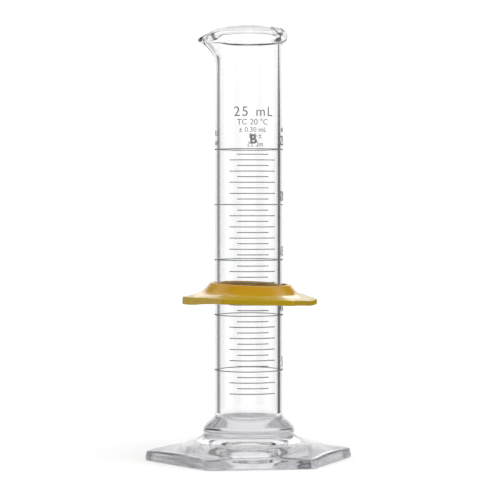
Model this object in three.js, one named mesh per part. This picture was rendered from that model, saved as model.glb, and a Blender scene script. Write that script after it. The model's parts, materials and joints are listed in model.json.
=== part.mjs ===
// A 25 ml graduated cylinder: a glass barrel with a beaded rim and a pouring spout, a hexagonal
// glass foot, a loose hexagonal bumper guard on the barrel, and a scale of fired enamel marks.
//
// Frame: millimetres, +Z up, origin on the barrel's axis in the plane that the foot stands on.
// The spout points along -X, and the foot and the guard each have two corners on the X axis.
// Angles run about +Z from the -Y direction, which is the middle of the scale.

import * as THREE from "three";

// ---- Driving dimensions, mm and degrees ----

const CAPACITY = 25; // ml at the top mark
const LOWEST_MARK = 3; // ml
const MARK_STEP = 0.5; // ml
const RING_STEP = 5; // ml between the marks that run all round
const CUBIC_MM_PER_ML = 1000;

const TUBE_RADIUS = 11;
const TUBE_WALL = 1.5;
const HEADROOM = 38.7; // top mark to the rim
const FLOOR_EDGE_HEIGHT = 13.2; // where the bore meets the rounded floor
const FLOOR_DEPTH = 3.9; // the rounded floor's drop from its edge
const FLOOR_THICKNESS = 1.8;

const BEAD_HALF_HEIGHT = 2.35;
const BEAD_BULGE = 1.6; // how far the bead stands out from the tube
const SPOUT_REACH = 3.7; // lip beyond the bead
const SPOUT_TIP_RADIUS = 4; // the lip's roundness, seen from above
const SPOUT_DIP = 3.65; // the lip's middle below the rim
const SPOUT_DEPTH = 11; // length of tube that the spout is drawn from
const SPOUT_SWEEP = 1.5; // power of the spout's outward curve
const SPOUT_ANGLE = -90; // towards -X
const BEAD_CREASE = 0.3; // height of the crease under the bead

const FOOT_APOTHEM = 29.35;
const FOOT_CORNER_RADIUS = 3.8;
const FOOT_EDGE_HEIGHT = 3.9; // top surface at the middle of a side
const FOOT_CORNER_DROP = 0.6; // the top surface's further fall at a corner
const FOOT_EDGE_ROUNDING = 1;
const FOOT_SHOULDER_REACH = 7; // from the tube to where the neck runs out into the top
const FOOT_SHOULDER_HEIGHT = 6.25;
const FOOT_TOP_HOLLOW = 0.43; // share of the rise to the shoulder that the top has half way
const NECK_RISE = 0.7; // top of the neck above the bore's floor edge
const NECK_HOLLOW_OUT = 0.4; // the neck curve's handle, as shares of its breadth and drop
const NECK_HOLLOW_DOWN = 0.75;
const RECESS_RADIUS = 14;
const RECESS_DEPTH = 2.4;
const SOCKET_CLEARANCE = 0.3; // round the barrel in the foot

const GUARD_APOTHEM = 19.1;
const GUARD_CORNER_RADIUS = 1.8;
const GUARD_HUB_WALL = 1.2;
const GUARD_HUB_HEIGHT = 6.7;
const GUARD_BRIM_WIDTH = 2.1; // from the hub's flare to the edge, at the middle of a side
const GUARD_BRIM_THICKNESS = 2;
const GUARD_BRIM_HEIGHT = 2.5; // top of the brim above the sleeve's end, at the middle of a side
const GUARD_BRIM_SLOPE = 0.28;
const GUARD_EDGE_ROUNDING = 0.4;
const GUARD_FLARE_OUT = 0.45; // the flare curve's handle: share of its breadth, and height in mm
const GUARD_FLARE_UP = 0.4;
const GUARD_CHANNEL_SHARE = 0.6; // how much of the flare's breadth the channel under it is deep for
const GUARD_CLEARANCE = 0.8; // round the enamel marks
const GUARD_REST_HEIGHT = 49.9; // the sleeve's lower end
const GUARD_REST_SHIFT = 0.5; // it hangs off centre
const GUARD_REST_TILT = 1.3; // and a little askew

const ENAMEL_THICKNESS = 0.1;
const MARK_WIDTH = 0.3;
const LONG_MARK_SPAN = 82;
const SHORT_MARK_SPAN = 54;

const BARREL_COLUMNS = 48;
const HEXAGON_COLUMNS = 72;
const SPOUT_STEPS = 6;
const BEAD_INNER_STEPS = 3;
const BEAD_OUTER_STEPS = 5;
const FLOOR_STEPS = 5;
const RECESS_STEPS = 4;
const ROUNDING_STEPS = 2;
const CURVE_STEPS = 4;

// ---- Sizes worked out from them ----

const boreRadius = TUBE_RADIUS - TUBE_WALL;
const boreArea = Math.PI * boreRadius ** 2;
const mmPerMl = CUBIC_MM_PER_ML / boreArea;
const floorVolume = (Math.PI * FLOOR_DEPTH * (3 * boreRadius ** 2 + FLOOR_DEPTH ** 2)) / 6;
const zeroHeight = FLOOR_EDGE_HEIGHT - floorVolume / boreArea;
const heightAt = (ml) => zeroHeight + ml * mmPerMl;
const rimHeight = heightAt(CAPACITY) + HEADROOM;
const beadHeight = rimHeight - BEAD_HALF_HEIGHT;
const beadRadius = TUBE_RADIUS + BEAD_BULGE;
const seatHeight = FLOOR_EDGE_HEIGHT - FLOOR_DEPTH - FLOOR_THICKNESS;
const socketRadius = TUBE_RADIUS + SOCKET_CLEARANCE;
const shoulderRadius = TUBE_RADIUS + FOOT_SHOULDER_REACH;
const neckHeight = FLOOR_EDGE_HEIGHT + NECK_RISE;
const guardBoreRadius = TUBE_RADIUS + ENAMEL_THICKNESS + GUARD_CLEARANCE;
const guardBrimRadius = GUARD_APOTHEM - GUARD_BRIM_WIDTH;

const radians = THREE.MathUtils.degToRad;
const lerp = THREE.MathUtils.lerp;

// ---- Materials ----

const glass = () => new THREE.MeshStandardMaterial({ color: 0xdfe4e8, roughness: 0.05, metalness: 0 });
const guardPlastic = () => new THREE.MeshStandardMaterial({ color: 0xb38c18, roughness: 0.35, metalness: 0 });
const enamel = () => new THREE.MeshStandardMaterial({ color: 0x8d9094, roughness: 0.6, metalness: 0 });

// ---- Shared shapes ----

// A closed mesh turned from a section, with each of its columns moved by place(index, angle),
// which returns the radius and height of one point of the section at one angle.
function turned(section, columns, place, angleOf = (turn) => turn * 2 * Math.PI) {
  const geometry = new THREE.LatheGeometry(section, columns);
  const positions = geometry.getAttribute("position");
  for (let column = 0; column <= columns; column++) {
    const angle = angleOf((column % columns) / columns);
    for (let index = 0; index < section.length; index++) {
      const point = place(index, angle);
      const vertex = column * section.length + index;
      positions.setXYZ(vertex, point.x * Math.sin(angle), -point.x * Math.cos(angle), point.y);
    }
  }
  return geometry;
}

// Points along an arc of an ellipse, from one angle to another.
function arc(centreX, centreY, radiusX, radiusY, from, to, steps) {
  const ends = [radians(from), radians(to)];
  return new THREE.EllipseCurve(centreX, centreY, radiusX, radiusY, ...ends, from > to).getPoints(steps);
}

// The angle between a direction and the nearest corner of a hexagon with corners on the X axis.
function angleFromCorner(angle) {
  const sector = Math.PI / 3;
  const turn = angle - Math.PI / 2;
  return turn - sector * Math.round(turn / sector);
}

// The distance from the axis to a hexagon's side or rounded corner.
function hexagonRadius(angle, apothem, cornerRadius) {
  const offset = Math.abs(angleFromCorner(angle));
  const halfSector = Math.PI / 6;
  const centre = (apothem - cornerRadius) / Math.cos(halfSector);
  const arcEnd = Math.atan2(
    cornerRadius * Math.sin(halfSector),
    centre + cornerRadius * Math.cos(halfSector),
  );
  if (offset > arcEnd) return apothem / Math.cos(halfSector - offset);
  return centre * Math.cos(offset) + Math.sqrt(cornerRadius ** 2 - (centre * Math.sin(offset)) ** 2);
}

// Columns crowd towards the hexagon's corners, so that the rounding is followed.
function hexagonAngle(turn) {
  const sector = Math.PI / 3;
  const position = turn * 6 + 0.5;
  const fromCorner = 2 * (position - Math.round(position));
  const crowded = Math.sign(fromCorner) * Math.abs(fromCorner) ** 1.5;
  return sector * (Math.round(position) - 0.5) + (sector / 2) * crowded;
}

// ---- Barrel ----

// How far the spout is drawn out at an angle: 1 at its middle, 0 where it leaves the round rim.
// Seen from above, the lip is a small arc joined to the bead by two straight sides.
function spoutShare(angle) {
  const turn = angle - radians(SPOUT_ANGLE);
  const offset = Math.abs(turn - 2 * Math.PI * Math.round(turn / (2 * Math.PI)));
  const tipCentre = beadRadius + SPOUT_REACH - SPOUT_TIP_RADIUS;
  const tangent = Math.acos((beadRadius - SPOUT_TIP_RADIUS) / tipCentre);
  if (offset >= tangent) return 0;
  const tipEnd = Math.atan2(
    SPOUT_TIP_RADIUS * Math.sin(tangent),
    tipCentre + SPOUT_TIP_RADIUS * Math.cos(tangent),
  );
  const onSide = beadRadius / Math.cos(tangent - offset);
  const aside = Math.min(SPOUT_TIP_RADIUS, tipCentre * Math.sin(offset));
  const onTip = tipCentre * Math.cos(offset) + Math.sqrt(SPOUT_TIP_RADIUS ** 2 - aside ** 2);
  return ((offset > tipEnd ? onSide : onTip) - beadRadius) / SPOUT_REACH;
}

// The tube's wall and rim as a half section, from the bore's upper stretch over the rim and
// down the outside, once where the rim is round and once through the middle of the spout.
function rimSections() {
  const spoutBase = rimHeight - SPOUT_DEPTH;
  const middleRadius = TUBE_RADIUS - TUBE_WALL / 2;
  const halfWall = TUBE_WALL / 2;
  const lipRadius = beadRadius + SPOUT_REACH - halfWall;
  const lipHeight = rimHeight - SPOUT_DIP;
  const round = [];
  const spout = [];
  const wallPoint = (share, side) => {
    const point = new THREE.Vector2(
      lerp(middleRadius, lipRadius, share ** SPOUT_SWEEP),
      lerp(spoutBase, lipHeight, share),
    );
    const outward = (lipRadius - middleRadius) * SPOUT_SWEEP * share ** (SPOUT_SWEEP - 1);
    const slope = outward / (lipHeight - spoutBase);
    const across = new THREE.Vector2(1, -slope).setLength(halfWall);
    return point.addScaledVector(across, side);
  };
  for (let step = 0; step <= SPOUT_STEPS; step++) {
    const share = step / SPOUT_STEPS;
    round.push(new THREE.Vector2(boreRadius, lerp(spoutBase, beadHeight, share)));
    spout.push(wallPoint(share, -1));
  }
  const crown = [
    ...arc(TUBE_RADIUS, beadHeight, TUBE_WALL, BEAD_HALF_HEIGHT, 180, 90, BEAD_INNER_STEPS).slice(1),
    ...arc(TUBE_RADIUS, beadHeight, BEAD_BULGE, BEAD_HALF_HEIGHT, 90, -90, BEAD_OUTER_STEPS).slice(1),
  ];
  const outerLip = wallPoint(1, 1);
  const innerLip = wallPoint(1, -1);
  const lipCentre = innerLip.clone().lerp(outerLip, 0.5);
  crown.forEach((point, index) => {
    round.push(point);
    const turn = (-Math.PI * (index + 1)) / (crown.length + 1);
    spout.push(innerLip.clone().rotateAround(lipCentre, turn));
  });
  const creaseHeight = beadHeight - BEAD_HALF_HEIGHT - BEAD_CREASE;
  for (let step = SPOUT_STEPS; step >= 0; step--) {
    const share = step / SPOUT_STEPS;
    round.push(new THREE.Vector2(TUBE_RADIUS, lerp(spoutBase, creaseHeight, share)));
    spout.push(wallPoint(share, 1));
  }
  return { round, spout };
}

function barrelGeometry() {
  const sphere = (boreRadius ** 2 + FLOOR_DEPTH ** 2) / (2 * FLOOR_DEPTH);
  const rise = THREE.MathUtils.radToDeg(Math.asin(boreRadius / sphere));
  const floor = arc(0, FLOOR_EDGE_HEIGHT - FLOOR_DEPTH + sphere, sphere, sphere, -90, rise - 90, FLOOR_STEPS);
  floor[0].x = 0;
  const seat = [new THREE.Vector2(TUBE_RADIUS, seatHeight), new THREE.Vector2(0, seatHeight)];
  const { round, spout } = rimSections();
  const roundSection = [...floor, ...round, ...seat].reverse();
  const spoutSection = [...floor, ...spout, ...seat].reverse();
  return turned(roundSection, BARREL_COLUMNS, (index, angle) =>
    roundSection[index].clone().lerp(spoutSection[index], spoutShare(angle)),
  );
}

// ---- Foot ----

// The foot's section: the recess under it, the flat ring it stands on, the edge, the top
// surface, the neck, and the socket that the barrel stands in.
function footSection(edgeRadius) {
  const rounding = FOOT_EDGE_ROUNDING;
  const cornerRadius = FOOT_APOTHEM / Math.cos(Math.PI / 6);
  const fall = (FOOT_CORNER_DROP * (edgeRadius - FOOT_APOTHEM)) / (cornerRadius - FOOT_APOTHEM);
  const edgeHeight = FOOT_EDGE_HEIGHT - fall;
  const dome = (RECESS_RADIUS ** 2 + RECESS_DEPTH ** 2) / (2 * RECESS_DEPTH);
  const domeRise = THREE.MathUtils.radToDeg(Math.asin(RECESS_RADIUS / dome));
  const recess = arc(0, RECESS_DEPTH - dome, dome, dome, 90, 90 - domeRise, RECESS_STEPS);
  recess[0].x = 0;
  recess[RECESS_STEPS].y = 0;
  const lowerEdge = arc(edgeRadius - rounding, rounding, rounding, rounding, -90, 0, ROUNDING_STEPS);
  lowerEdge[0].y = 0;
  const upperHeight = edgeHeight - rounding;
  const upperEdge = arc(edgeRadius - rounding, upperHeight, rounding, rounding, 0, 80, ROUNDING_STEPS);
  const topMiddle = new THREE.Vector2(
    (edgeRadius + shoulderRadius) / 2,
    lerp(edgeHeight, FOOT_SHOULDER_HEIGHT, FOOT_TOP_HOLLOW),
  );
  const neck = new THREE.QuadraticBezierCurve(
    new THREE.Vector2(shoulderRadius, FOOT_SHOULDER_HEIGHT),
    new THREE.Vector2(
      lerp(socketRadius, shoulderRadius, NECK_HOLLOW_OUT),
      lerp(neckHeight, FOOT_SHOULDER_HEIGHT, NECK_HOLLOW_DOWN),
    ),
    new THREE.Vector2(socketRadius, neckHeight),
  ).getPoints(CURVE_STEPS);
  const socket = [new THREE.Vector2(socketRadius, seatHeight), new THREE.Vector2(0, seatHeight)];
  return [...recess, ...lowerEdge, ...upperEdge, topMiddle, ...neck, ...socket];
}

function footGeometry() {
  const edgeAt = (angle) => hexagonRadius(angle, FOOT_APOTHEM, FOOT_CORNER_RADIUS);
  return turned(
    footSection(FOOT_APOTHEM),
    HEXAGON_COLUMNS,
    (index, angle) => footSection(edgeAt(angle))[index],
    hexagonAngle,
  );
}

// ---- Bumper guard ----

// The guard's section in its own frame, with the sleeve's lower end at height 0: the bore, the
// hub's top, its hollow flare, the brim, and the channel under it.
function guardSection(brimRadius) {
  const hubRadius = guardBoreRadius + GUARD_HUB_WALL;
  const topAt = (radius) => GUARD_BRIM_HEIGHT - GUARD_BRIM_SLOPE * (radius - GUARD_APOTHEM);
  const rounding = GUARD_EDGE_ROUNDING;
  const edgeTop = topAt(brimRadius);
  const flareFoot = topAt(guardBrimRadius);
  const flare = new THREE.QuadraticBezierCurve(
    new THREE.Vector2(hubRadius, GUARD_HUB_HEIGHT),
    new THREE.Vector2(lerp(hubRadius, guardBrimRadius, GUARD_FLARE_OUT), flareFoot + GUARD_FLARE_UP),
    new THREE.Vector2(guardBrimRadius, flareFoot),
  ).getPoints(CURVE_STEPS);
  const channelTop = flareFoot - GUARD_HUB_WALL;
  const closed = new THREE.Vector2(guardBoreRadius, 0);
  return [
    closed.clone(),
    new THREE.Vector2(hubRadius, 0),
    new THREE.Vector2(hubRadius, channelTop),
    new THREE.Vector2(lerp(hubRadius, guardBrimRadius, GUARD_CHANNEL_SHARE), channelTop),
    new THREE.Vector2(guardBrimRadius, flareFoot - GUARD_BRIM_THICKNESS),
    new THREE.Vector2(brimRadius - rounding, edgeTop - GUARD_BRIM_THICKNESS),
    new THREE.Vector2(brimRadius, edgeTop - GUARD_BRIM_THICKNESS + rounding),
    new THREE.Vector2(brimRadius, edgeTop - rounding),
    new THREE.Vector2(brimRadius - rounding, edgeTop),
    ...flare.reverse(),
    new THREE.Vector2(guardBoreRadius, GUARD_HUB_HEIGHT),
    closed,
  ];
}

function guardGeometry() {
  const brimAt = (angle) => hexagonRadius(angle, GUARD_APOTHEM, GUARD_CORNER_RADIUS);
  return turned(
    guardSection(GUARD_APOTHEM),
    HEXAGON_COLUMNS,
    (index, angle) => guardSection(brimAt(angle))[index],
    hexagonAngle,
  );
}

// ---- Enamel scale ----

// A point on the barrel's flat-sided outside, or on a skin of enamel over it.
function pointOnBarrel(radius, angle) {
  const facet = (2 * Math.PI) / BARREL_COLUMNS;
  const middle = (Math.floor(angle / facet) + 0.5) * facet;
  const reach = (radius * Math.cos(facet / 2)) / Math.cos(angle - middle);
  return new THREE.Vector2(reach * Math.sin(angle), -reach * Math.cos(angle));
}

// Points round the barrel from one angle to another, with one at each corner between its flats.
function pathOnBarrel(radius, from, to) {
  const facet = (2 * Math.PI) / BARREL_COLUMNS;
  const points = [pointOnBarrel(radius, from)];
  for (let column = Math.floor(from / facet) + 1; column * facet < to - 1e-6; column++)
    points.push(pointOnBarrel(radius, column * facet));
  points.push(pointOnBarrel(radius, to));
  return points;
}

// One mark, lying on the outside of the barrel at a height in ml.
function markMesh(name, ml, outline) {
  const geometry = new THREE.ExtrudeGeometry(outline, { depth: MARK_WIDTH, bevelEnabled: false });
  const mesh = new THREE.Mesh(geometry, enamel());
  mesh.name = name;
  mesh.position.z = heightAt(ml) - MARK_WIDTH / 2;
  return mesh;
}

function lineOutline(span) {
  const half = radians(span / 2);
  const inner = pathOnBarrel(TUBE_RADIUS, -half, half);
  const outer = pathOnBarrel(TUBE_RADIUS + ENAMEL_THICKNESS, -half, half);
  return new THREE.Shape([...inner, ...outer.reverse()]);
}

function ringOutline() {
  const outline = new THREE.Shape(pathOnBarrel(TUBE_RADIUS + ENAMEL_THICKNESS, 0, 2 * Math.PI).slice(1));
  outline.holes.push(new THREE.Path(pathOnBarrel(TUBE_RADIUS, 0, 2 * Math.PI).slice(1)));
  return outline;
}

function scale() {
  const group = new THREE.Group();
  const longLine = lineOutline(LONG_MARK_SPAN);
  const shortLine = lineOutline(SHORT_MARK_SPAN);
  const steps = Math.round((CAPACITY - LOWEST_MARK) / MARK_STEP);
  for (let step = 0; step <= steps; step++) {
    const ml = LOWEST_MARK + step * MARK_STEP;
    const label = ml.toFixed(1).replace(".", "_").padStart(4, "0");
    if (ml % RING_STEP === 0) group.add(markMesh(`ring_mark_${label}_ml`, ml, ringOutline()));
    else if (Number.isInteger(ml)) group.add(markMesh(`long_mark_${label}_ml`, ml, longLine));
    else group.add(markMesh(`short_mark_${label}_ml`, ml, shortLine));
  }
  return group;
}

// ---- Assembly ----

function named(name, geometry, material) {
  const mesh = new THREE.Mesh(geometry, material);
  mesh.name = name;
  return mesh;
}

const cylinder = new THREE.Group();
cylinder.add(named("glass_barrel", barrelGeometry(), glass()));
cylinder.add(named("hexagonal_foot", footGeometry(), glass()));
cylinder.add(scale());

// The guard leans about the middle of its sleeve.
const guardLean = new THREE.Group();
guardLean.position.set(GUARD_REST_SHIFT, 0, GUARD_REST_HEIGHT + GUARD_HUB_HEIGHT / 2);
guardLean.rotation.y = radians(GUARD_REST_TILT);
const guard = named("bumper_guard", guardGeometry(), guardPlastic());
guard.position.z = -GUARD_HUB_HEIGHT / 2;
guardLean.add(guard);
cylinder.add(guardLean);

export default cylinder;
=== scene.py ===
"""A 25 ml graduated cylinder of clear glass, with its enamel scale and its bumper guard.

The glass barrel and the foot are one fused body, so they are built as one closed mesh. The
enamel scale lies on the outside of the barrel, and the guard hangs loosely round it. All
lengths are in metres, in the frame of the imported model: the barrel's axis is the Z axis, the
foot stands on Z = 0, the spout points along -X and the scale faces -Y.
"""

import json
import logging
import math
from collections.abc import Callable, Sequence
from dataclasses import dataclass, field
from enum import Enum

import bmesh
import bpy
from mathutils import Matrix, Vector
from mathutils.geometry import interpolate_bezier

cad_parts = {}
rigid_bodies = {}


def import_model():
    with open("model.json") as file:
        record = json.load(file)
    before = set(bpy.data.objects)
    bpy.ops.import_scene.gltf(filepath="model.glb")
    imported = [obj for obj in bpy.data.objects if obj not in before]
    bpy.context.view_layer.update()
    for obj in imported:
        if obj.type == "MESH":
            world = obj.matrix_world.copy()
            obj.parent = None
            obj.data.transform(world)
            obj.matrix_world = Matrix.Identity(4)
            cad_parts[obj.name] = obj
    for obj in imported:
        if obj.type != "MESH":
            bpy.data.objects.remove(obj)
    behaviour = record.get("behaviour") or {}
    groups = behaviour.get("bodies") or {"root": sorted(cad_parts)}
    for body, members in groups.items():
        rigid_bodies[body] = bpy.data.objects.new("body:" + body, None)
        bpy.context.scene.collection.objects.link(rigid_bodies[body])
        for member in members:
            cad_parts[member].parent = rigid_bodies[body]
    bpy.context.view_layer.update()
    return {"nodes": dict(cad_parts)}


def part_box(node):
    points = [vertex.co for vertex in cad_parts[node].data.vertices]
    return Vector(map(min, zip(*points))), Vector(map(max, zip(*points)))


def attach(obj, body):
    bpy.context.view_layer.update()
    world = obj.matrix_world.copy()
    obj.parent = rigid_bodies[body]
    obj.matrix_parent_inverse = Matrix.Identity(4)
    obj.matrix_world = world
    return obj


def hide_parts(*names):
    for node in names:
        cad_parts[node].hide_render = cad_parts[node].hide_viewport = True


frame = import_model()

MM = 0.001
GLASS_BOUNCES = 24
MERGE_DISTANCE = 1e-7
Colour = tuple[float, float, float, float]
Point = tuple[float, float]
Span = tuple[float, float]
Profile = list[Point]

log = logging.getLogger("cylinder")


# ---- shader tools


class Shader:
    """A material's or world's node tree, with short ways to add nodes and do sums."""

    def __init__(self, tree: bpy.types.NodeTree) -> None:
        """Empties the tree and starts from it."""
        self.tree = tree
        tree.nodes.clear()

    def node(self, kind: str, settings: dict | None = None, **sockets: object) -> bpy.types.Node:
        """Adds one node.

        Args:
            kind: the node's type name.
            settings: properties set before its sockets, with a ramp's stops under "stops".
            sockets: values or links, named after the sockets in lower case with underscores,
                or after their places as input_0, input_1 and so on.

        Returns:
            The new node.
        """
        made = self.tree.nodes.new(kind)
        for name, value in (settings or {}).items():
            if name == "stops":
                self._set_stops(made.color_ramp, value)
            else:
                setattr(made, name, value)
        by_name = {s.name.lower().replace(" ", "_"): s for s in reversed(made.inputs) if s.enabled}
        for name, value in sockets.items():
            place = name.removeprefix("input_")
            self._feed(made.inputs[int(place)] if place.isdigit() else by_name[name], value)
        return made

    def _set_stops(self, ramp: bpy.types.ColorRamp, stops: Sequence) -> None:
        """Gives a colour ramp its stops, each a place and a colour."""
        while len(ramp.elements) < len(stops):
            ramp.elements.new(1.0)
        for element, (place, colour) in zip(ramp.elements, stops):
            element.position = place
            element.color = colour

    def _feed(self, socket: bpy.types.NodeSocket, value: object) -> None:
        """Links a socket or a wrapped value to an input, or sets its constant."""
        if isinstance(value, Value):
            value = value.socket
        if isinstance(value, bpy.types.NodeSocket):
            self.tree.links.new(value, socket)
        else:
            socket.default_value = value

    def value(self, socket: bpy.types.NodeSocket) -> "Value":
        """Wraps a socket, so that sums can be written on it."""
        return Value(self, socket)

    def maths(self, operation: str, *terms: object, clamp: bool = False) -> "Value":
        """Adds one Math node and returns its result."""
        settings = {"operation": operation, "use_clamp": clamp}
        sockets = {f"input_{i}": term for i, term in enumerate(terms)}
        return Value(self, self.node("ShaderNodeMath", settings, **sockets).outputs[0])

    def mix_colour(self, factor: object, first: object, second: object) -> bpy.types.NodeSocket:
        """Blends two colours and returns the blend."""
        made = self.node("ShaderNodeMix", {"data_type": "RGBA"},
                         input_0=factor, input_6=first, input_7=second)
        return made.outputs[2]

    def noise(self, where: object, scale: float, detail: float = 2.0,
              roughness: float = 0.5) -> "Value":
        """Adds a noise texture.

        Args:
            where: the coordinates that it is laid out by.
            scale: how many cells it has in a metre.
            detail: how many finer layers it has.
            roughness: how strong each finer layer is.

        Returns:
            Its strength, about 0 to 1.
        """
        made = self.node("ShaderNodeTexNoise", None, vector=where, scale=scale, detail=detail,
                         roughness=roughness)
        return Value(self, made.outputs[0])

    def opaque(self, bump: object, strength: float, distance: float, **sockets: object) -> None:
        """Ends a material with an opaque, finely bumped surface.

        Args:
            bump: the height of its bumps, about 0 to 1.
            strength: how strong they are.
            distance: how high a full one is, in metres.
            sockets: the Principled BSDF's other values or links.
        """
        bumped = self.node("ShaderNodeBump", None, strength=strength, distance=distance, height=bump)
        surface = self.node("ShaderNodeBsdfPrincipled", None, normal=bumped.outputs[0], **sockets)
        self.node("ShaderNodeOutputMaterial", None, surface=surface.outputs[0])


class Value:
    """A number that flows through a node tree."""

    def __init__(self, shader: Shader, socket: bpy.types.NodeSocket) -> None:
        """Keeps the socket that the number comes from."""
        self.shader = shader
        self.socket = socket

    def __add__(self, other: object) -> "Value":
        """Adds."""
        return self.shader.maths("ADD", self, other)

    __radd__ = __add__

    def __sub__(self, other: object) -> "Value":
        """Subtracts."""
        return self.shader.maths("SUBTRACT", self, other)

    def __rsub__(self, other: object) -> "Value":
        """Subtracts, from the right."""
        return self.shader.maths("SUBTRACT", other, self)

    def __mul__(self, other: object) -> "Value":
        """Multiplies."""
        return self.shader.maths("MULTIPLY", self, other)

    __rmul__ = __mul__

    def fade(self, across: Span, first: float = 0.0, last: float = 1.0) -> "Value":
        """Fades smoothly from one level to another as this number crosses a span.

        Args:
            across: where the fade starts and ends, which may run downwards.
            first: the level up to its start.
            last: the level from its end on.

        Returns:
            The level.
        """
        settings = {"interpolation_type": "SMOOTHSTEP"}
        made = self.shader.node("ShaderNodeMapRange", settings, input_0=self, input_1=across[0],
                                input_2=across[1], input_3=first, input_4=last)
        return Value(self.shader, made.outputs[0])


# ---- finishes


def start_material(name: str) -> tuple[bpy.types.Material, Shader, bpy.types.NodeSocket]:
    """Starts a material.

    Args:
        name: the material's name.

    Returns:
        The material, its empty node tree, and the coordinates that its textures are laid out by.
    """
    made = bpy.data.materials.new(name)
    made.use_nodes = True
    shader = Shader(made.node_tree)
    return made, shader, shader.node("ShaderNodeTexCoord").outputs["Object"]


@dataclass(frozen=True)
class ClearGlass:
    """Clear fire-polished borosilicate glass, with painted shade: its colour is darkened a little where
    it turns away from the view.
    """

    ior: float = 1.473
    tint: Colour = (0.985, 0.987, 0.99, 1.0)
    # Painted shade: a darker colour at grazing angles, standing in for the glass's dark edges.
    edge_tint: Colour = (0.86, 0.86, 0.875, 1.0)
    edge_span: Span = (0.55, 1.0)
    shadow_tint: Colour = (0.96, 0.965, 0.97, 1.0)
    ripple: float = 0.012
    ripple_height: float = 0.5 * MM
    ripple_scale: float = 90.0
    foot_heights: Span = (12.0 * MM, 8.0 * MM)
    foot_ripple: float = 5.0
    foot_ripple_scale: float = 260.0
    smudge: float = 0.012
    smudge_scale: float = 60.0
    foot_reach: Span = (28.5 * MM, 27.5 * MM)
    underside_heights: Span = (2.6 * MM, 0.1 * MM)
    underside_roughness: float = 0.06
    depth_colour: Colour = (0.80, 0.797, 0.812, 1.0)
    depth_density: float = 42.0

    def material(self) -> bpy.types.Material:
        """Makes the material.

        Light that only casts shadows passes straight through, as it does through thin clear
        glass, so that the foot doesn't shade the table like a solid block.
        """
        made, shader, place = start_material("cylinder_glass")
        # Painted shade: the colour darkens towards grazing angles, standing in for the dark edges that
        # bent light gives the glass.
        facing = shader.value(shader.node("ShaderNodeLayerWeight", None, blend=0.5).outputs["Facing"])
        edge = facing.fade(self.edge_span)
        colour = shader.mix_colour(edge, self.tint, self.edge_tint)
        parts = shader.node("ShaderNodeSeparateXYZ", None, vector=place)
        east, north, height = (shader.value(parts.outputs[i]) for i in range(3))
        radius = shader.maths("SQRT", east * east + north * north)
        moulded = height.fade(self.foot_heights)
        fine = shader.noise(place, self.foot_ripple_scale, 2.0)
        waves = shader.noise(place, self.ripple_scale, 1.0) + moulded * fine * self.foot_ripple
        bump = shader.node("ShaderNodeBump", None, strength=self.ripple, distance=self.ripple_height,
                           height=waves)
        smudge = shader.noise(place, self.smudge_scale, 3.0)
        underside = height.fade(self.underside_heights)
        underside = underside * radius.fade(self.foot_reach)
        surface = shader.node(
            "ShaderNodeBsdfPrincipled", None,
            base_color=colour,
            roughness=smudge * self.smudge + underside * self.underside_roughness,
            ior=self.ior,
            transmission_weight=1.0,
            normal=bump.outputs[0],
        )
        clear = shader.node("ShaderNodeBsdfTransparent", None, color=self.shadow_tint)
        shadow = shader.node("ShaderNodeLightPath").outputs["Is Shadow Ray"]
        mixed = shader.node("ShaderNodeMixShader", None, input_0=shadow, input_1=surface.outputs[0],
                            input_2=clear.outputs[0])
        depth = shader.node("ShaderNodeVolumeAbsorption", None, color=self.depth_colour,
                            density=self.depth_density)
        shader.node("ShaderNodeOutputMaterial", None, surface=mixed.outputs[0], volume=depth.outputs[0])
        return made


@dataclass(frozen=True)
class GuardPlastic:
    """Glossy moulded plastic, yellow ochre, a little translucent."""

    hub: Colour = (0.475, 0.262, 0.004, 1.0)
    hub_deep: Colour = (0.44, 0.225, 0.004, 1.0)
    brim: Colour = (0.40, 0.265, 0.004, 1.0)
    brim_heights: Span = (52.2 * MM, 54.0 * MM)
    cloud_scale: float = 110.0
    cloud_span: Span = (0.3, 0.75)
    flow_scale: float = 420.0
    roughness: float = 0.13
    flow_roughness: float = 0.08
    grain: float = 0.04
    grain_height: float = 0.1 * MM
    grain_scale: float = 1500.0
    ior: float = 1.49
    depth: float = 1.2 * MM
    depth_share: float = 0.1
    depth_reach: tuple[float, float, float] = (1.0, 0.5, 0.1)

    def material(self) -> bpy.types.Material:
        """Makes the material, with the faint clouding and the fine unevenness of a moulding."""
        made, shader, place = start_material("ochre_plastic")
        height = shader.value(shader.node("ShaderNodeSeparateXYZ", None, vector=place).outputs[2])
        cloud = shader.noise(place, self.cloud_scale, 3.0)
        flow = shader.noise(place, self.flow_scale, 4.0, 0.6)
        hub = shader.mix_colour(cloud.fade(self.cloud_span), self.hub_deep, self.hub)
        colour = shader.mix_colour(height.fade(self.brim_heights), self.brim, hub)
        grain = shader.noise(place, self.grain_scale, 2.0)
        shader.opaque(
            grain + cloud, self.grain, self.grain_height,
            base_color=colour,
            roughness=self.roughness + flow * self.flow_roughness,
            ior=self.ior,
            subsurface_weight=self.depth_share,
            subsurface_radius=self.depth_reach,
            subsurface_scale=self.depth,
        )
        return made


@dataclass(frozen=True)
class FiredEnamel:
    """Grey ceramic enamel, screen printed and fired on the glass."""

    body: Colour = (0.17, 0.17, 0.18, 1.0)
    thin: Colour = (0.30, 0.30, 0.32, 1.0)
    thin_span: Span = (0.4, 0.75)
    patch_scale: float = 700.0
    roughness: float = 0.45
    patch_roughness: float = 0.25
    speck: float = 0.2
    speck_height: float = 0.02 * MM
    speck_scale: float = 9000.0

    def material(self) -> bpy.types.Material:
        """Makes the material, a little patchy where the print is thinner."""
        made, shader, place = start_material("grey_enamel")
        patch = shader.noise(place, self.patch_scale, 3.0, 0.6)
        colour = shader.mix_colour(patch.fade(self.thin_span), self.body, self.thin)
        speck = shader.noise(place, self.speck_scale, 1.0)
        shader.opaque(speck, self.speck, self.speck_height, base_color=colour,
                      roughness=self.roughness + patch * self.patch_roughness)
        return made


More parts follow.
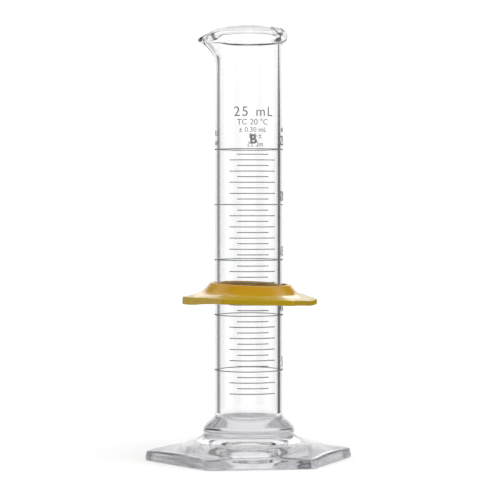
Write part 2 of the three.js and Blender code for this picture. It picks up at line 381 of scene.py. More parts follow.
@dataclass(frozen=True)
class TablePaper:
    """Plain white sweep paper."""

    colour: Colour = (0.93, 0.93, 0.93, 1.0)
    roughness: float = 0.95
    tooth: float = 0.05
    tooth_height: float = 0.1 * MM
    tooth_scale: float = 2500.0

    def material(self) -> bpy.types.Material:
        """Makes the material, with the faint tooth of paper."""
        made, shader, place = start_material("white_paper")
        tooth = shader.noise(place, self.tooth_scale, 3.0)
        shader.opaque(tooth, self.tooth, self.tooth_height, base_color=self.colour,
                      roughness=self.roughness, specular_ior_level=0.0)
        return made


# ---- shape tools


def arc(centre: Point, radii: Point, start: float, end: float, steps: int) -> Profile:
    """Points along part of an ellipse.

    Args:
        centre: its centre, radius and height.
        radii: its half width and half height.
        start: the first point's angle in degrees, counted from the outward direction.
        end: the last point's angle in degrees.
        steps: how many stretches the arc has.

    Returns:
        The points, with one more than steps.
    """
    turns = [math.radians(start + (end - start) * i / steps) for i in range(steps + 1)]
    return [(centre[0] + radii[0] * math.cos(t), centre[1] + radii[1] * math.sin(t)) for t in turns]


def sweep(start: Point, pull: Point, push: Point, end: Point, steps: int) -> Profile:
    """Points along a Bezier curve.

    Args:
        start: its first point.
        pull: the handle that it leaves the first point towards.
        push: the handle that it comes to the last point from.
        end: its last point.
        steps: how many stretches it has.

    Returns:
        The points, with one more than steps.
    """
    knots = [Vector((p[0], p[1], 0.0)) for p in (start, pull, push, end)]
    return [(p.x, p.y) for p in interpolate_bezier(*knots, steps + 1)]


def blend(first: float | Value, second: float | Value, share: float | Value) -> float | Value:
    """A number the given share of the way from the first to the second, in or out of a shader."""
    return first + (second - first) * share


def straight(radius: float, start: float, end: float, steps: int) -> Profile:
    """Evenly spaced points up or down a straight wall, from one height to another."""
    return [(radius, blend(start, end, i / steps)) for i in range(steps + 1)]


def smooth_object(name: str, bm: bmesh.types.BMesh, material: bpy.types.Material) -> bpy.types.Object:
    """Turns a bmesh into a smooth-shaded object at the origin.

    Args:
        name: the object's name.
        bm: the mesh, which is freed.
        material: its material.

    Returns:
        The object, in the scene.
    """
    mesh = bpy.data.meshes.new(name)
    for face in bm.faces:
        face.smooth = True
    bm.to_mesh(mesh)
    bm.free()
    mesh.materials.append(material)
    made = bpy.data.objects.new(name, mesh)
    bpy.context.scene.collection.objects.link(made)
    return made


@dataclass(frozen=True)
class RoundedHexagon:
    """A hexagon with rounded corners, two of them on the X axis."""

    apothem: float
    corner_radius: float

    @property
    def reach(self) -> float:
        """The distance from the middle to a rounded corner."""
        return self._centre + self.corner_radius

    @property
    def _centre(self) -> float:
        """The distance from the middle to a corner arc's centre."""
        return (self.apothem - self.corner_radius) / math.cos(math.pi / 6)

    def radius(self, angle: float) -> float:
        """The distance from the middle to the outline, at an angle in radians from +X."""
        sector = math.pi / 3
        offset = abs(angle - sector * round(angle / sector))
        corner = self.corner_radius
        arc_end = math.atan2(corner / 2, self._centre + corner * math.cos(math.pi / 6))
        if offset > arc_end:
            return self.apothem / math.cos(sector / 2 - offset)
        side = self._centre * math.sin(offset)
        return self._centre * math.cos(offset) + math.sqrt(corner**2 - side**2)

    def corner_share(self, angle: float) -> float:
        """0 at the middle of a side and 1 at a corner."""
        return (self.radius(angle) - self.apothem) / (self.reach - self.apothem)


@dataclass(frozen=True)
class Lip:
    """The spout's outline from above: a small arc joined to the round rim by straight sides."""

    rim_radius: float
    reach: float
    tip_radius: float
    direction: float = math.pi

    def share(self, angle: float) -> float:
        """How far the lip stands out at an angle: 1 at its middle, 0 on the round rim."""
        offset = abs((angle - self.direction + math.pi) % (2 * math.pi) - math.pi)
        centre = self.rim_radius + self.reach - self.tip_radius
        tangent = math.acos((self.rim_radius - self.tip_radius) / centre)
        if offset >= tangent:
            return 0.0
        tip = (centre + self.tip_radius * math.cos(tangent), self.tip_radius * math.sin(tangent))
        tip_end = math.atan2(tip[1], tip[0])
        if offset > tip_end:
            radius = self.rim_radius / math.cos(tangent - offset)
        else:
            side = centre * math.sin(offset)
            radius = centre * math.cos(offset) + math.sqrt(max(0.0, self.tip_radius**2 - side**2))
        return (radius - self.rim_radius) / self.reach


@dataclass
class Section:
    """Half of a turned shape's section, with the places that its points move to where it bulges.

    The points run as one line. plain holds them where the shape is at its narrowest, and drawn
    where it stands out furthest, at a hexagon's corner or in the middle of the spout.
    """

    plain: Profile = field(default_factory=list)
    drawn: Profile = field(default_factory=list)
    pulls: list[Callable[[float], float] | None] = field(default_factory=list)

    def add(self, plain: Profile, drawn: Profile | None = None,
            pull: Callable[[float], float] | None = None) -> None:
        """Adds a stretch of points.

        Args:
            plain: where they lie at the shape's narrowest.
            drawn: where they lie at its widest, if they move at all.
            pull: the share of that move at each angle in radians.
        """
        self.plain += plain
        self.drawn += drawn if drawn is not None else plain
        self.pulls += [pull] * len(plain)

    def spin(self, columns: int, closed: bool) -> bmesh.types.BMesh:
        """Turns the section round the Z axis and moves each column to its own outline.

        Args:
            columns: how many steps a full turn has.
            closed: whether the line of points ends where it starts.

        Returns:
            A closed mesh with its normals outwards.
        """
        bm = bmesh.new()
        station = bm.verts.layers.int.new("station")
        verts = []
        for index, (radius, height) in enumerate(self.plain):
            vert = bm.verts.new((radius, 0.0, height))
            vert[station] = index
            verts.append(vert)
        edges = [bm.edges.new(pair) for pair in zip(verts, verts[1:])]
        if closed:
            edges.append(bm.edges.new((verts[-1], verts[0])))
        bmesh.ops.spin(bm, geom=verts + edges, cent=(0, 0, 0), axis=(0, 0, 1), dvec=(0, 0, 0),
                       angle=math.tau, steps=columns, use_merge=True, use_duplicate=False)
        for vert in bm.verts:
            angle = math.atan2(vert.co.y, vert.co.x)
            radius, height = self._place(vert[station], angle)
            vert.co = Vector((radius * math.cos(angle), radius * math.sin(angle), height))
        bmesh.ops.remove_doubles(bm, verts=bm.verts[:], dist=MERGE_DISTANCE)
        bmesh.ops.recalc_face_normals(bm, faces=bm.faces[:])
        return bm

    def _place(self, index: int, angle: float) -> Point:
        """The radius and height of one of the points at one angle."""
        pull = self.pulls[index]
        share = pull(angle) if pull else 0.0
        plain, drawn = self.plain[index], self.drawn[index]
        return blend(plain[0], drawn[0], share), blend(plain[1], drawn[1], share)


# ---- glass


@dataclass
class Glassware:
    """The barrel and the foot, which are one piece of glass."""

    wall: float = 1.5 * MM
    floor_depth: float = 3.9 * MM
    floor_edge: float = 13.2 * MM
    bead_half_height: float = 2.35 * MM
    bead_bulge: float = 1.6 * MM
    spout_reach: float = 3.1 * MM
    spout_tip_radius: float = 4.0 * MM
    spout_dip: float = 3.9 * MM
    spout_depth: float = 10.0 * MM
    spout_sweep: float = 1.6
    lip_swell: float = 2.4
    foot_corner_radius: float = 3.8 * MM
    foot_edge_height: float = 3.9 * MM
    foot_corner_drop: float = 0.6 * MM
    foot_shoulder: Point = (18.0 * MM, 6.25 * MM)
    foot_rounding: float = 0.7 * MM
    shoulder_rounding: float = 1.1 * MM
    edge_draft: float = 0.25 * MM
    recess_radius: float = 14.0 * MM
    recess_depth: float = 2.4 * MM
    collar_crease: Point = (14.35 * MM, 8.55 * MM)
    collar_top: Point = (13.7 * MM, 11.2 * MM)
    neck_top: float = 13.75 * MM
    columns: int = 288

    def __post_init__(self) -> None:
        """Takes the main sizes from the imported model."""
        low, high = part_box("hexagonal_foot")
        self.foot = RoundedHexagon(high.y, self.foot_corner_radius)
        self.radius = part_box("glass_barrel")[1].x - self.bead_bulge
        self.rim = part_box("glass_barrel")[1].z

    def build(self) -> bmesh.types.BMesh:
        """Builds the whole body of glass as one closed turned shape."""
        section = Section()
        self._add_foot(section)
        self._add_neck(section)
        self._add_rim(section)
        self._add_floor(section)
        return section.spin(self.columns, closed=False)

    def _add_foot(self, section: Section) -> None:
        """Adds the recess, the standing ring, the moulded edge and the top of the foot."""
        depth, reach = self.recess_depth, self.recess_radius
        dome = (reach**2 + depth**2) / (2 * depth)
        rise = math.degrees(math.asin(reach / dome))
        recess = arc((0.0, depth - dome), (dome, dome), 90.0, 90.0 - rise, 16)
        recess[0] = (0.0, depth)
        recess[-1] = (reach, 0.0)
        section.add(recess + [(reach + 0.3 * MM, 0.0), (reach + 3 * MM, 0.0)])
        plain = self._foot_edge(self.foot.apothem, self.foot_edge_height)
        drawn = self._foot_edge(self.foot.reach, self.foot_edge_height - self.foot_corner_drop)
        section.add(plain, drawn, self.foot.corner_share)

    def _foot_edge(self, edge: float, height: float) -> Profile:
        """The outer part of the foot's section, from the table up to its shoulder.

        Args:
            edge: how far the foot reaches out.
            height: how high its edge is.

        Returns:
            The points.
        """
        low, high, draft = self.foot_rounding, self.shoulder_rounding, self.edge_draft
        return (
            [(edge - 6 * MM, 0.0), (edge - low - 1 * MM, 0.0)]
            + arc((edge - low, low), (low, low), -90.0, 0.0, 6)
            + [(edge - draft / 2, height / 2)]
            + arc((edge - high - draft, height - high), (high, high), 0.0, 76.0, 7)
            + sweep((edge - high, height), (edge - 3 * MM, height + 0.42 * MM),
                    (23.0 * MM, 4.85 * MM), self.foot_shoulder, 10)[1:]
        )

    def _add_neck(self, section: Section) -> None:
        """Adds the sloping collar up to the barrel, and the barrel's outside."""
        cove = sweep(self.foot_shoulder, (16.4 * MM, 6.7 * MM), (14.9 * MM, 7.6 * MM),
                     self.collar_crease, 8)
        collar = sweep(self.collar_crease, (15.0 * MM, 9.1 * MM), (14.6 * MM, 10.3 * MM),
                       self.collar_top, 8)
        slope = sweep(self.collar_top, (12.9 * MM, 12.1 * MM), (12.0 * MM, 12.9 * MM),
                      (self.radius + 0.05 * MM, self.neck_top), 8)
        section.add(cove[1:] + collar[1:] + slope[1:])
        section.add([(self.radius, self.neck_top + rise * MM) for rise in (0.25, 0.85)])
        section.add(straight(self.radius, 20.0 * MM, self.rim - self.spout_depth - 2 * MM, 12))

    def _add_rim(self, section: Section) -> None:
        """Adds the outside of the spout, the beaded rim and the spout's inside."""
        steps = 14
        bead_middle = self.rim - self.bead_half_height
        crease = self.rim - 2 * self.bead_half_height
        base = self.rim - self.spout_depth
        lip = Lip(self.radius + self.bead_bulge, self.spout_reach, self.spout_tip_radius)
        shares = [i / steps for i in range(steps + 1)]
        outside = straight(self.radius, base, crease - 0.1 * MM, steps)
        section.add(outside, [self._lip_wall(s, 1) for s in shares], lip.share)
        centre = (self.radius, bead_middle)
        bead = arc(centre, (self.bead_bulge, self.bead_half_height), -84.0, 90.0, 20)
        bead += arc(centre, (self.wall, self.bead_half_height), 90.0, 180.0, 12)[1:]
        section.add(bead, self._lip_edge(len(bead)), lip.share)
        inside = straight(self.radius - self.wall, bead_middle - 0.2 * MM, base, steps)
        section.add(inside, [self._lip_wall(s, -1) for s in reversed(shares)], lip.share)

    def _lip_wall(self, share: float, side: int) -> Point:
        """A point of the spout's wall, where share runs from its base to its lip.

        Args:
            share: 0 at the base of the spout and 1 at the lip.
            side: 1 on the outside and -1 on the inside.

        Returns:
            The point's radius and height in the middle of the spout.
        """
        middle = self.radius - self.wall / 2
        run = self.radius + self.bead_bulge + self.spout_reach - self.wall / 2 - middle
        rise = self.spout_depth - self.spout_dip
        radius = middle + run * share**self.spout_sweep
        height = self.rim - self.spout_depth + rise * share
        slope = run * self.spout_sweep * share ** (self.spout_sweep - 1) / rise
        offset = side * self.wall / 2 / math.hypot(1.0, slope)
        return radius + offset, height - offset * slope

    def _lip_edge(self, count: int) -> Profile:
        """The rounded edge of the lip, thickest on its outer side.

        Args:
            count: how many points it has, as many as the bead that it takes over from.

        Returns:
            The points.
        """
        outer, inner = Vector(self._lip_wall(1.0, 1)), Vector(self._lip_wall(1.0, -1))
        centre = (outer + inner) / 2
        edge = []
        for index in range(count):
            turn = math.pi * (index + 1) / (count + 1)
            swell = 1 + self.lip_swell * math.sin(turn) * (1 - turn / math.pi) ** 2
            point = centre + Matrix.Rotation(turn, 2) @ (outer - centre) * swell
            edge.append((point.x, point.y))
        return edge

    def _add_floor(self, section: Section) -> None:
        """Adds the bore and the rounded floor."""
        bore = self.radius - self.wall
        top = self.rim - self.spout_depth - 2 * MM
        section.add(straight(bore, top, self.floor_edge + 1 * MM, 12))
        sphere = (bore**2 + self.floor_depth**2) / (2 * self.floor_depth)
        rise = math.degrees(math.asin(bore / sphere))
        centre = (0.0, self.floor_edge - self.floor_depth + sphere)
        floor = arc(centre, (sphere, sphere), rise - 90.0, -90.0, 24)
        floor[-1] = (0.0, self.floor_edge - self.floor_depth)
        corner = sweep((bore, self.floor_edge + 0.9 * MM), (bore, self.floor_edge + 0.3 * MM),
                       (bore - 0.15 * MM, self.floor_edge - 0.1 * MM), floor[2], 5)
        section.add(corner + floor[3:])

    def dress(self, bm: bmesh.types.BMesh, glass: ClearGlass) -> bpy.types.Object:
        """Gives the glass its finish and its place on the frame."""
        made = smooth_object("glass_body", bm, glass.material())
        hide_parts("glass_barrel", "hexagonal_foot")
        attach(made, "glassware")
        log.info("glass_body: %d faces", len(made.data.polygons))
        return made


# ---- bumper guard


@dataclass
class BumperGuard:
    """The loose six-sided guard that keeps the barrel off the bench when it tips over."""

    bore: float = 11.9 * MM
    hub_wall: float = 1.2 * MM
    hub_height: float = 6.5 * MM
    hub_foot: float = 0.35 * MM
    brim_start: float = 17.9 * MM
    brim_thickness: float = 1.75 * MM
    brim_height: float = 2.7 * MM
    corner_radius: float = 1.8 * MM
    edge_rounding: float = 0.3 * MM
    end_droop: float = 0.9 * MM
    end_swell: float = 0.75 * MM
    right_droop: float = 1.25
    back_lift: float = 1.3 * MM
    back_bearing: float = math.radians(27)
    rest_height: float = 49.9 * MM
    shift: float = 0.5 * MM
    tilt: float = math.radians(1.7)
    lean: float = math.radians(1.6)
    columns: int = 288

    def __post_init__(self) -> None:
        """Takes the guard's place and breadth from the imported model."""
        low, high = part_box("bumper_guard")
        self.outline = RoundedHexagon((high.y - low.y) / 2, self.corner_radius)
        self.middle = Vector((self.shift, 0.0, self.rest_height + self.hub_height / 2))

    def build(self) -> bmesh.types.BMesh:
        """Builds the guard: bore, hub, flare, six-sided brim, and the channel under it."""
        section = Section()
        hub, top = self.bore + self.hub_wall, self.hub_height
        soft = self.edge_rounding
        section.add(straight(self.bore, self.hub_foot + soft + 0.1 * MM, top - 0.6 * MM, 8))
        section.add(arc((self.bore + soft, top - soft), (soft, soft), 180.0, 90.0, 4))
        section.add(arc((hub - soft, top - soft), (soft, soft), 90.0, 30.0, 5))
        plain = self._flare(self.brim_start) + self._brim(self.outline.apothem, self.brim_start)
        corner = self.brim_start + (self.outline.reach - self.outline.apothem) * 0.9
        drawn = self._flare(corner) + self._brim(self.outline.reach, corner)
        section.add(plain, drawn, self.outline.corner_share)
        channel = self.brim_height - 1.1 * MM
        section.add(sweep((self.brim_start, self.brim_height - self.brim_thickness),
                          (self.brim_start - 1.0 * MM, self.brim_height - 1.5 * MM),
                          (hub + 1.6 * MM, channel), (hub + 0.5 * MM, channel), 8))
        section.add([(hub, channel - drop * MM) for drop in (0.4, 0.7)])
        section.add(arc((hub - soft, self.hub_foot + soft), (soft, soft), 0.0, -90.0, 4))
        section.add(arc((self.bore + soft, self.hub_foot + soft), (soft, soft), -90.0, -180.0, 4))
        bm = section.spin(self.columns, closed=True)
        for vert in bm.verts:
            vert.co.z += self._warp(vert.co)
        turn = Matrix.Rotation(self.tilt, 4, "Y") @ Matrix.Rotation(self.lean, 4, "X")
        centred = Matrix.Translation((0, 0, -self.hub_height / 2))
        place = Matrix.Translation(self.middle) @ turn @ centred
        bmesh.ops.transform(bm, matrix=place, verts=bm.verts[:])
        return bm

    def _flare(self, end: float) -> Profile:
        """The slope from the top of the hub down to the brim.

        Args:
            end: the radius where the brim starts.

        Returns:
            The points.
        """
        hub, top = self.bore + self.hub_wall, self.hub_height
        return sweep((hub + 0.05 * MM, top - 0.35 * MM), (hub + 1.5 * MM, top - 1.9 * MM),
                     (self.brim_start - 2.7 * MM, self.brim_height + 0.5 * MM),
                     (end, self.brim_height + 0.1 * MM), 14)

    def _brim(self, edge: float, start: float) -> Profile:
        """The brim's section, out along its top and back along its underside.

        Args:
            edge: how far it reaches out.
            start: the radius where it starts.

        Returns:
            The points.
        """
        soft = self.edge_rounding
        top = self.brim_height
        low = top - self.brim_thickness
        reaches = [blend(start, edge - soft, s) for s in (0.3, 0.65)]
        return (
            [(reach, blend(top + 0.1 * MM, top, s)) for reach, s in zip(reaches, (0.6, 1.0))]
            + arc((edge - soft, top - soft), (soft, soft), 90.0, 0.0, 5)
            + [(edge, blend(top, low, 0.5))]
            + arc((edge - soft, low + soft), (soft, soft), 0.0, -90.0, 5)
            + [(reach, low) for reach in reversed(reaches)]
        )

    def _warp(self, place: Vector) -> float:
        """How far the soft brim has sagged at its two ends and lifted at the back."""
        radius = math.hypot(place.x, place.y)
        start = self.bore + self.hub_wall
        share = max(0.0, min(1.0, (radius - start) / (self.outline.apothem - start)))
        ends = (place.x / max(radius, start)) ** 4 * (self.right_droop if place.x > 0 else 1.0)
        back = max(0.0, math.cos(math.atan2(place.y, place.x) - self.back_bearing)) ** 8
        low = place.x < 0 and place.z < self.brim_height - self.brim_thickness / 2
        swell = self.end_swell if low else 0.0
        return share**2 * (self.back_lift * back - (self.end_droop + swell) * ends)

    def dress(self, bm: bmesh.types.BMesh, plastic: GuardPlastic) -> bpy.types.Object:
        """Gives the guard its finish and its place on the frame."""
        made = smooth_object("guard_moulding", bm, plastic.material())
        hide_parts("bumper_guard")
        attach(made, "guard")
        log.info("guard_moulding: %d faces", len(made.data.polygons))
        return made


# ---- enamel scale


class Mark(Enum):
    """The kinds of graduation, as how far they reach round the barrel in degrees."""

    RING = 360.0
    LONG = 82.0
    SHORT = 54.0


class Weight(Enum):
    """How heavily a line of lettering is printed, as the growth of its strokes in metres."""

    PLAIN = 0.0
    BOLD = 0.16 * MM


@dataclass(frozen=True)
class Lettering:
    """One line of lettering on the barrel.

    Attributes:
        name: the piece's name.
        words: what it says.
        cap_height: the height of its capitals, in metres.
        foot: the height of its base line, in metres.
        angle: where its middle lies, in degrees round from the middle of the scale.
        weight: how heavy it is.
        spread: how far its letters stand apart, 1 for the font's own spacing.
    """

    name: str
    words: str
    cap_height: float
    foot: float
    angle: float
    weight: Weight = Weight.PLAIN
    spread: float = 1.0


@dataclass
class EnamelScale:
    """The graduations and lettering, fired on the outside of the barrel."""

    radius: float = 11.0 * MM
    thickness: float = 0.08 * MM
    line_width: float = 0.3 * MM
    sink: float = 0.01 * MM
    cap_share: float = 0.729
    slice_pitch: float = 0.4 * MM

    def height(self, node: str) -> float:
        """The height of a graduation, taken from the middle of its CAD node."""
        low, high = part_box(node)
        return (low.z + high.z) / 2

    def mark(self, node: str) -> bmesh.types.BMesh:
        """Builds one graduation: a thin strip round part of the barrel, or a closed ring.

        Args:
            node: its CAD node, whose name starts with its kind.

        Returns:
            Its mesh.
        """
        kind, height = Mark[node.split("_")[0].upper()], self.height(node)
        half = self.line_width / 2
        bm = bmesh.new()
        bmesh.ops.create_circle(bm, cap_ends=False, radius=1.0, segments=8)
        for vert in bm.verts:
            across, along = self.thickness * vert.co.x, half * vert.co.y
            vert.co = Vector((self.radius + max(across, -self.sink), 0.0, height + along))
        turn = math.radians(kind.value)
        start = -math.pi / 2 - turn / 2
        bmesh.ops.rotate(bm, verts=bm.verts[:], matrix=Matrix.Rotation(start, 3, "Z"))
        whole = kind is Mark.RING
        bmesh.ops.spin(bm, geom=bm.verts[:] + bm.edges[:], cent=(0, 0, 0), axis=(0, 0, 1), dvec=(0, 0, 0),
                       angle=turn, steps=round(kind.value / 2), use_merge=whole, use_duplicate=False)
        if not whole:
            bmesh.ops.holes_fill(bm, edges=[e for e in bm.edges if e.is_boundary], sides=0)
        bmesh.ops.recalc_face_normals(bm, faces=bm.faces[:])
        return bm

    def letters(self, line: Lettering) -> bmesh.types.BMesh:
        """Builds one line of lettering, bent round the barrel.

        Args:
            line: what it says, how tall it is and where it lies.

        Returns:
            Its mesh, a thin solid with its back just inside the glass.
        """
        curve = bpy.data.curves.new(line.name, "FONT")
        curve.body = line.words
        curve.size = line.cap_height / self.cap_share
        curve.space_character = line.spread
        curve.align_x = "CENTER"
        curve.offset = line.weight.value
        curve.extrude = self.thickness / 2
        curve.resolution_u = 6
        holder = bpy.data.objects.new(line.name, curve)
        bpy.context.scene.collection.objects.link(holder)
        bpy.context.view_layer.update()
        graph = bpy.context.evaluated_depsgraph_get()
        mesh = bpy.data.meshes.new_from_object(holder.evaluated_get(graph))
        bpy.data.objects.remove(holder)
        bpy.data.curves.remove(curve)
        bm = bmesh.new()
        bm.from_mesh(mesh)
        bpy.data.meshes.remove(mesh)
        bmesh.ops.remove_doubles(bm, verts=bm.verts[:], dist=1e-6)
        self._slice(bm)
        for vert in bm.verts:
            turn = math.radians(line.angle) + vert.co.x / self.radius
            reach = self.radius + vert.co.z + self.thickness / 2 - self.sink
            vert.co = Vector((reach * math.sin(turn), -reach * math.cos(turn), line.foot + vert.co.y))
        bmesh.ops.recalc_face_normals(bm, faces=bm.faces[:])
        return bm

    def _slice(self, bm: bmesh.types.BMesh) -> None:
        """Cuts a flat mesh into upright slices, so that it can follow a bend."""
        places = [v.co.x for v in bm.verts]
        low, high = min(places), max(places)
        for cut in range(1, math.ceil((high - low) / self.slice_pitch)):
            bmesh.ops.bisect_plane(bm, geom=bm.verts[:] + bm.edges[:] + bm.faces[:],
                                   dist=MERGE_DISTANCE, plane_co=(low + cut * self.slice_pitch, 0, 0),
                                   plane_no=(1, 0, 0))

    def dress(self, name: str, bm: bmesh.types.BMesh, enamel: bpy.types.Material,
              node: str | None = None) -> bpy.types.Object:
        """Gives a mark or a line of lettering its finish and its place on the frame.

        Args:
            name: the piece's name.
            bm: its mesh, which is freed.
            enamel: its material.
            node: the CAD node that it stands for, if it has one.

        Returns:
            The object.
        """
        made = smooth_object(name, bm, enamel)
        if node:
            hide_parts(node)
        else:
            for face in made.data.polygons:
                face.use_smooth = False
        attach(made, "glassware")
        return made


# ---- studio


def span(start: float, end: float) -> Span:
    """A span of angle, given in degrees and kept in radians."""
    return math.radians(start), math.radians(end)


@dataclass(frozen=True)
class Surroundings:
    """Where the parts of the world lie: spans of angle that each part fades in across.

    One that is marked as a sine or a cosine is compared with that of the bearing.
    """

    horizon: Span = span(-1, 4)
    screen_side: Span = span(5, 28)
    right_sine: Span = span(-10, 10)
    card_foot: Span = span(1, 5)
    card_shoulder: Span = span(11, 18)
    card_edge: Span = span(-1.5, 1.5)
    card_top: Span = span(42, 34)
    card_start: float = math.radians(29)
    card_narrowing: float = math.radians(5)
    right_narrowing: float = math.radians(6)
    card_widening: float = math.radians(17)
    sky: Span = span(42, 48)
    zenith: Span = span(50, 65)
    strip_side: Span = span(13, 16)
    strip_depth: Span = span(-60, -45)
    below: Span = span(-9, -14)
    behind_cosine: Span = span(10, 40)
    gap: Span = span(-23, -28)
    front_cosine: Span = span(20, -5)
    front_rise: Span = span(35, 20)
    panel_inner: Span = span(6, 12)
    panel_outer: Span = span(28, 20)
    panel_foot: Span = span(14, 19)
    panel_top: Span = span(40, 32)
    panel_sine: Span = span(-5, 5)


@dataclass
class Studio:
    """The white table, the lights, the dark cards at the sides, and the camera."""

    floor_radius: float = 150.0 * MM
    screen_low: float = 1.1
    screen_high: float = 1.18
    screen_falloff: float = 0.85
    left_card: float = 0.27
    right_card: float = 0.1
    ceiling: float = 1.05
    zenith: float = 0.15
    below: float = 0.95
    strip: float = 0.4
    gap: float = 0.75
    front_gloss: float = 0.1
    left_panel: float = 1.6
    right_panel: float = 2.6
    places: Surroundings = Surroundings()
    camera_turn: float = math.radians(-7.5)
    camera_distance: float = 664.0 * MM
    camera_height: float = 83.0 * MM
    aim_height: float = 67.1 * MM
    aim_aside: float = 0.4 * MM
    lens: float = 149.1
    light_aim: float = 60.0 * MM

    def floor(self) -> bpy.types.Object:
        """Lays a round of white paper under the foot."""
        bm = bmesh.new()
        bmesh.ops.create_circle(bm, cap_ends=True, radius=self.floor_radius, segments=128)
        bmesh.ops.translate(bm, verts=bm.verts[:], vec=(0, 0, -0.05 * MM))
        made = smooth_object("table_top", bm, TablePaper().material())
        return made

    def camera(self) -> None:
        """Sets up the camera, level with the upper part of the scale."""
        turn = self.camera_turn
        aside = Vector((math.cos(turn), math.sin(turn), 0.0)) * self.aim_aside
        back = Vector((math.sin(turn), -math.cos(turn), 0.0)) * self.camera_distance
        data = bpy.data.cameras.new("camera")
        data.lens = self.lens
        data.sensor_width = 36.0
        data.clip_start = 0.01
        made = bpy.data.objects.new("camera", data)
        made.location = aside + back + Vector((0, 0, self.camera_height))
        aim = aside + Vector((0, 0, self.aim_height))
        self._aim(made, aim)
        bpy.context.scene.camera = made

    def _aim(self, made: bpy.types.Object, target: Vector) -> None:
        """Adds a camera or a light to the scene and turns it to look at a point."""
        made.rotation_euler = (target - made.location).to_track_quat("-Z", "Y").to_euler()
        bpy.context.scene.collection.objects.link(made)

    def world(self) -> None:
        """Surrounds the object with a white room, which the camera itself sees as plain white.

        What glass and plastic show is what they reflect and bend. Light that was reflected once
        meets a dark front with two bright panels in it, which gives clean highlights, and all
        other light meets the room.
        """
        made = bpy.data.worlds.new("studio")
        bpy.context.scene.world = made
        made.use_nodes = True
        shader = Shader(made.node_tree)
        direction = shader.node("ShaderNodeTexCoord").outputs["Generated"]
        parts = shader.node("ShaderNodeSeparateXYZ", None, vector=direction)
        east, north, up = (shader.value(parts.outputs[i]) for i in range(3))
        bearing = shader.maths("ARCTAN2", east, north) + self.camera_turn
        rise = shader.maths("ARCSINE", up)
        path = shader.node("ShaderNodeLightPath")
        glossy, bent, seen = (shader.value(path.outputs[f"Is {kind} Ray"])
                              for kind in ("Glossy", "Transmission", "Camera"))
        room = self._room(shader, bearing, rise)
        around = self._mirrored(shader, bearing, rise, room, glossy * (1.0 - bent))
        strength = blend(around, self.screen_low, seen)
        light = shader.node("ShaderNodeBackground", None, color=(1, 1, 1, 1), strength=strength)
        shader.node("ShaderNodeOutputWorld", None, surface=light.outputs[0])

    def _room(self, shader: Shader, bearing: Value, rise: Value) -> Value:
        """The room's brightness in each direction.

        White screens stand behind, in front and at the sides, with a dark card at each corner
        that is wider higher up. The sky is bright up to half way and dark overhead. Below lie
        eight dark strips, and a slightly darker patch low down behind the object.

        Args:
            shader: the world's node tree.
            bearing: the direction round the object, 0 straight behind it.
            rise: the direction's height above the horizon.

        Returns:
            The brightness.
        """
        at = self.places
        aside = shader.maths("PINGPONG", bearing + math.tau, math.radians(45))
        screen = rise.fade(at.horizon, self.screen_low, self.screen_high)
        screen = screen * aside.fade(at.screen_side, 1.0, self.screen_falloff)
        right = shader.maths("SINE", bearing * 2).fade(at.right_sine)
        narrowing = right * at.right_narrowing + at.card_narrowing
        edge = rise.fade(at.card_foot) * narrowing + at.card_start
        edge = edge - rise.fade(at.card_shoulder, 0.0, at.card_widening)
        card = (aside - edge).fade(at.card_edge) * rise.fade(at.card_top)
        beside = blend(screen, blend(self.left_card, self.right_card, right), card)

        overhead = rise.fade(at.zenith, self.ceiling, self.zenith)
        strips = shader.maths("PINGPONG", bearing + math.tau, math.radians(22.5))
        strips = strips.fade(at.strip_side) * rise.fade(at.strip_depth)
        lower = blend(self.below, self.strip, strips)
        behind = shader.maths("COSINE", bearing).fade(at.behind_cosine)
        lower = lower * (1.0 - behind * rise.fade(at.gap) * (1.0 - self.gap))
        upper = blend(beside, overhead, rise.fade(at.sky))
        return blend(upper, lower, rise.fade(at.below))

    def _mirrored(self, shader: Shader, bearing: Value, rise: Value, room: Value,
                  share: Value) -> Value:
        """The brightness that reflected light meets: the room, a dark front, and two panels.

        Args:
            shader: the world's node tree.
            bearing: the direction round the object, 0 straight behind it.
            rise: the direction's height above the horizon.
            room: the room's brightness in that direction.
            share: 1 for light that was reflected last, and 0 for all other light.

        Returns:
            The brightness.
        """
        at = self.places
        sine, cosine = shader.maths("SINE", bearing), shader.maths("COSINE", bearing)
        front = cosine.fade(at.front_cosine)
        front = front * shader.maths("ABSOLUTE", rise).fade(at.front_rise)
        away = shader.maths("ABSOLUTE", shader.maths("ARCTAN2", sine, cosine))
        panel = away.fade(at.panel_inner) * away.fade(at.panel_outer)
        panel = panel * rise.fade(at.panel_foot) * rise.fade(at.panel_top)
        bright = blend(self.left_panel, self.right_panel, sine.fade(at.panel_sine))
        return room * (1.0 - share * front * (1.0 - self.front_gloss)) + share * panel * bright

    def lights(self) -> None:
        """Hangs a broad soft light overhead and a weaker one in front."""
        self._soft_light("overhead", (0.1, -0.25, 0.9), 0.8, 5.4)
        self._soft_light("front_fill", (0.5, -1.0, 0.45), 0.5, 1.0)

    def _soft_light(self, name: str, place: tuple, side: float, power: float) -> None:
        """Adds one square soft light that looks at the object."""
        data = bpy.data.lights.new(name, "AREA")
        data.shape = "SQUARE"
        data.size = side
        data.energy = power
        made = bpy.data.objects.new(name, data)
        made.location = place
        made.visible_glossy = False
        made.visible_transmission = False
        self._aim(made, Vector((0, 0, self.light_aim)))


# ---- assembly


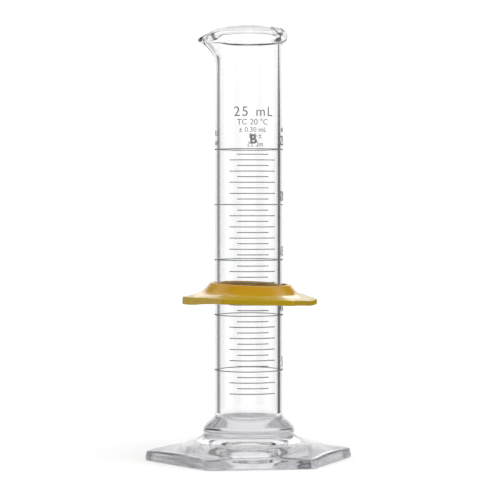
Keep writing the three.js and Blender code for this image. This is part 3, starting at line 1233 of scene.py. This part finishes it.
def lettering(scale_heights: dict[int, float]) -> list[Lettering]:
    """Lists the lettering: a numeral above each ring, and the block above the scale.

    Args:
        scale_heights: the height of each ring, by the millilitres that it marks.

    Returns:
        The lines of lettering.
    """
    top = max(scale_heights.values())
    lines = [
        Lettering(f"numeral_{ml:02d}", str(ml), 3.3 * MM, height + 1.2 * MM, 68.0)
        for ml, height in scale_heights.items()
    ]
    lines += [
        Lettering("unit_of_numerals", "mL", 1.7 * MM, top + 5.6 * MM, 68.0),
        Lettering("capacity_line", "25 mL", 3.2 * MM, top + 10.3 * MM, 1.0, Weight.PLAIN, 1.22),
        Lettering("temperature_line", "TC 20 °C", 1.87 * MM, top + 7.6 * MM, -0.6),
        Lettering("tolerance_line", "± 0.30 mL", 1.6 * MM, top + 5.3 * MM, -0.6),
        Lettering("class_letter", "B", 2.9 * MM, top + 1.7 * MM, 0.0, Weight.BOLD),
        Lettering("side_label_upper", "0.5", 1.7 * MM, top + 4.3 * MM, -76.0),
        Lettering("side_label_lower", "mL", 1.7 * MM, top + 1.3 * MM, -76.0),
        Lettering("back_label_upper", "± 0.3", 1.7 * MM, top + 3.9 * MM, 160.0),
        Lettering("back_label_lower", "mL 25", 1.7 * MM, top + 1.2 * MM, 160.0),
    ]
    return lines


def main() -> None:
    """Builds the studio and the three sub-assemblies."""
    logging.basicConfig(level=logging.INFO, format="%(name)s: %(message)s")
    studio = Studio()
    studio.camera()
    studio.floor()
    studio.world()
    studio.lights()
    bpy.context.scene.view_settings.view_transform = "Standard"
    cycles = bpy.context.scene.cycles
    cycles.max_bounces = GLASS_BOUNCES
    cycles.glossy_bounces = GLASS_BOUNCES
    cycles.transmission_bounces = GLASS_BOUNCES

    glassware = Glassware()
    glassware.dress(glassware.build(), ClearGlass())

    guard = BumperGuard()
    guard.dress(guard.build(), GuardPlastic())

    scale = EnamelScale()
    enamel = FiredEnamel().material()
    marks = sorted(node for node in frame["nodes"] if "_mark_" in node)
    for node in marks:
        scale.dress(node.replace("_mark_", "_line_"), scale.mark(node), enamel, node)
    log.info("scale: %d graduations", len(marks))
    rings = [node for node in marks if node.startswith("ring")]
    for line in lettering({int(node.split("_")[2]): scale.height(node) for node in rings}):
        scale.dress(line.name, scale.letters(line), enamel)
        log.info("lettering: %s", line.name)


if __name__ == "__main__":
    main()
